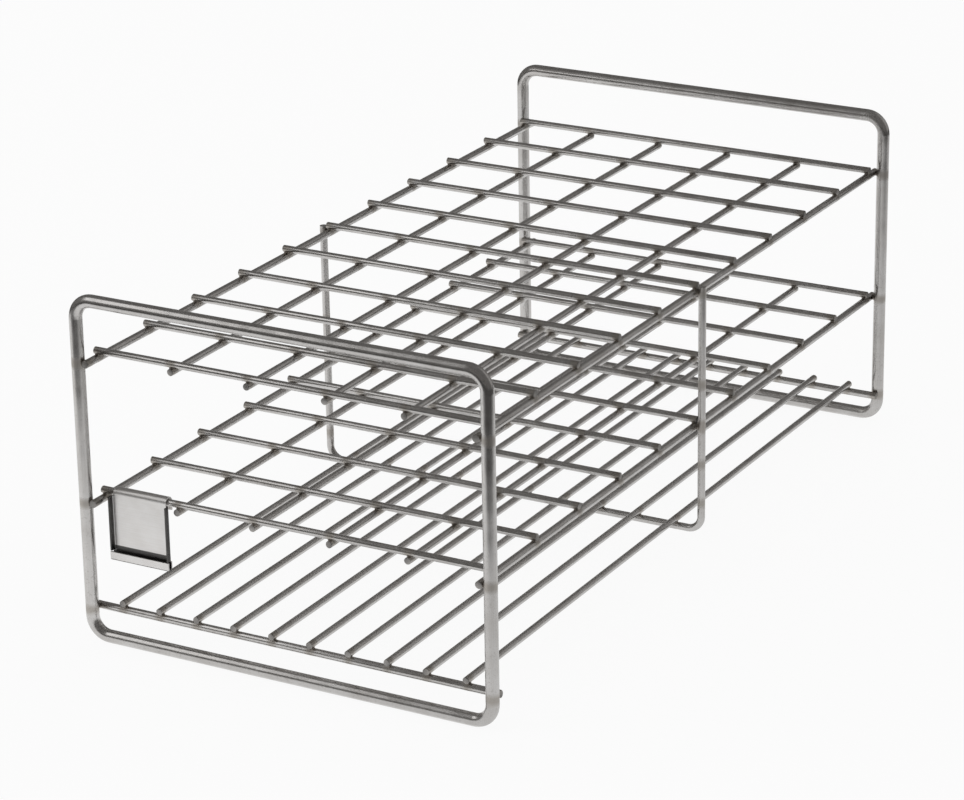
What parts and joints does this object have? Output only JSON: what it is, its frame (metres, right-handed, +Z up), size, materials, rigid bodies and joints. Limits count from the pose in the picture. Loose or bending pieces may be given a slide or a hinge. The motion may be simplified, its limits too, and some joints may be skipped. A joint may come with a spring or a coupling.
{
  "type": "test tube rack",
  "caption": "Free-standing welded wire rack that holds test tubes upright in a square grid, with end frames that serve as handles.",
  "frame": {"origin": "On the surface that the rack stands on, in the middle of its length and width.", "axes": "X across the rack, Y along it from the end with the label plate to the far end, Z up."},
  "size_m": [0.1296, 0.2538, 0.1013],
  "materials": {
    "frame_wire": "bright electropolished stainless wire",
    "rim_wire": "bright electropolished stainless wire",
    "grid_wire": "bright electropolished stainless wire",
    "label_sheet": "plain stainless sheet, satin"
  },
  "bodies": {
    "root": {"centre_support": "rim_wire", "end_frame_far": "frame_wire", "end_frame_near": "frame_wire", "label_plate": "label_sheet", "middle_cross_wire_01": "grid_wire", "middle_cross_wire_02": "grid_wire", "middle_cross_wire_03": "grid_wire", "middle_cross_wire_04": "grid_wire", "middle_cross_wire_05": "grid_wire", "middle_cross_wire_06": "grid_wire", "middle_cross_wire_07": "grid_wire", "middle_cross_wire_08": "grid_wire", "middle_cross_wire_09": "grid_wire", "middle_cross_wire_10": "grid_wire", "middle_cross_wire_11": "grid_wire", "middle_long_wire_1": "grid_wire", "middle_long_wire_2": "grid_wire", "middle_long_wire_3": "grid_wire", "middle_long_wire_4": "grid_wire", "middle_rim_wire_left": "rim_wire", "middle_rim_wire_right": "rim_wire", "shelf_bar_far": "rim_wire", "shelf_bar_near": "rim_wire", "shelf_wire_01": "grid_wire", "shelf_wire_02": "grid_wire", "shelf_wire_03": "grid_wire", "shelf_wire_04": "grid_wire", "shelf_wire_05": "grid_wire", "shelf_wire_06": "grid_wire", "shelf_wire_07": "grid_wire", "shelf_wire_08": "grid_wire", "shelf_wire_09": "grid_wire", "shelf_wire_10": "grid_wire", "upper_cross_wire_01": "grid_wire", "upper_cross_wire_02": "grid_wire", "upper_cross_wire_03": "grid_wire", "upper_cross_wire_04": "grid_wire", "upper_cross_wire_05": "grid_wire", "upper_cross_wire_06": "grid_wire", "upper_cross_wire_07": "grid_wire", "upper_cross_wire_08": "grid_wire", "upper_cross_wire_09": "grid_wire", "upper_cross_wire_10": "grid_wire", "upper_cross_wire_11": "grid_wire", "upper_long_wire_1": "grid_wire", "upper_long_wire_2": "grid_wire", "upper_long_wire_3": "grid_wire", "upper_long_wire_4": "grid_wire", "upper_rim_wire_left": "rim_wire", "upper_rim_wire_right": "rim_wire"}
  },
  "joints": []
}
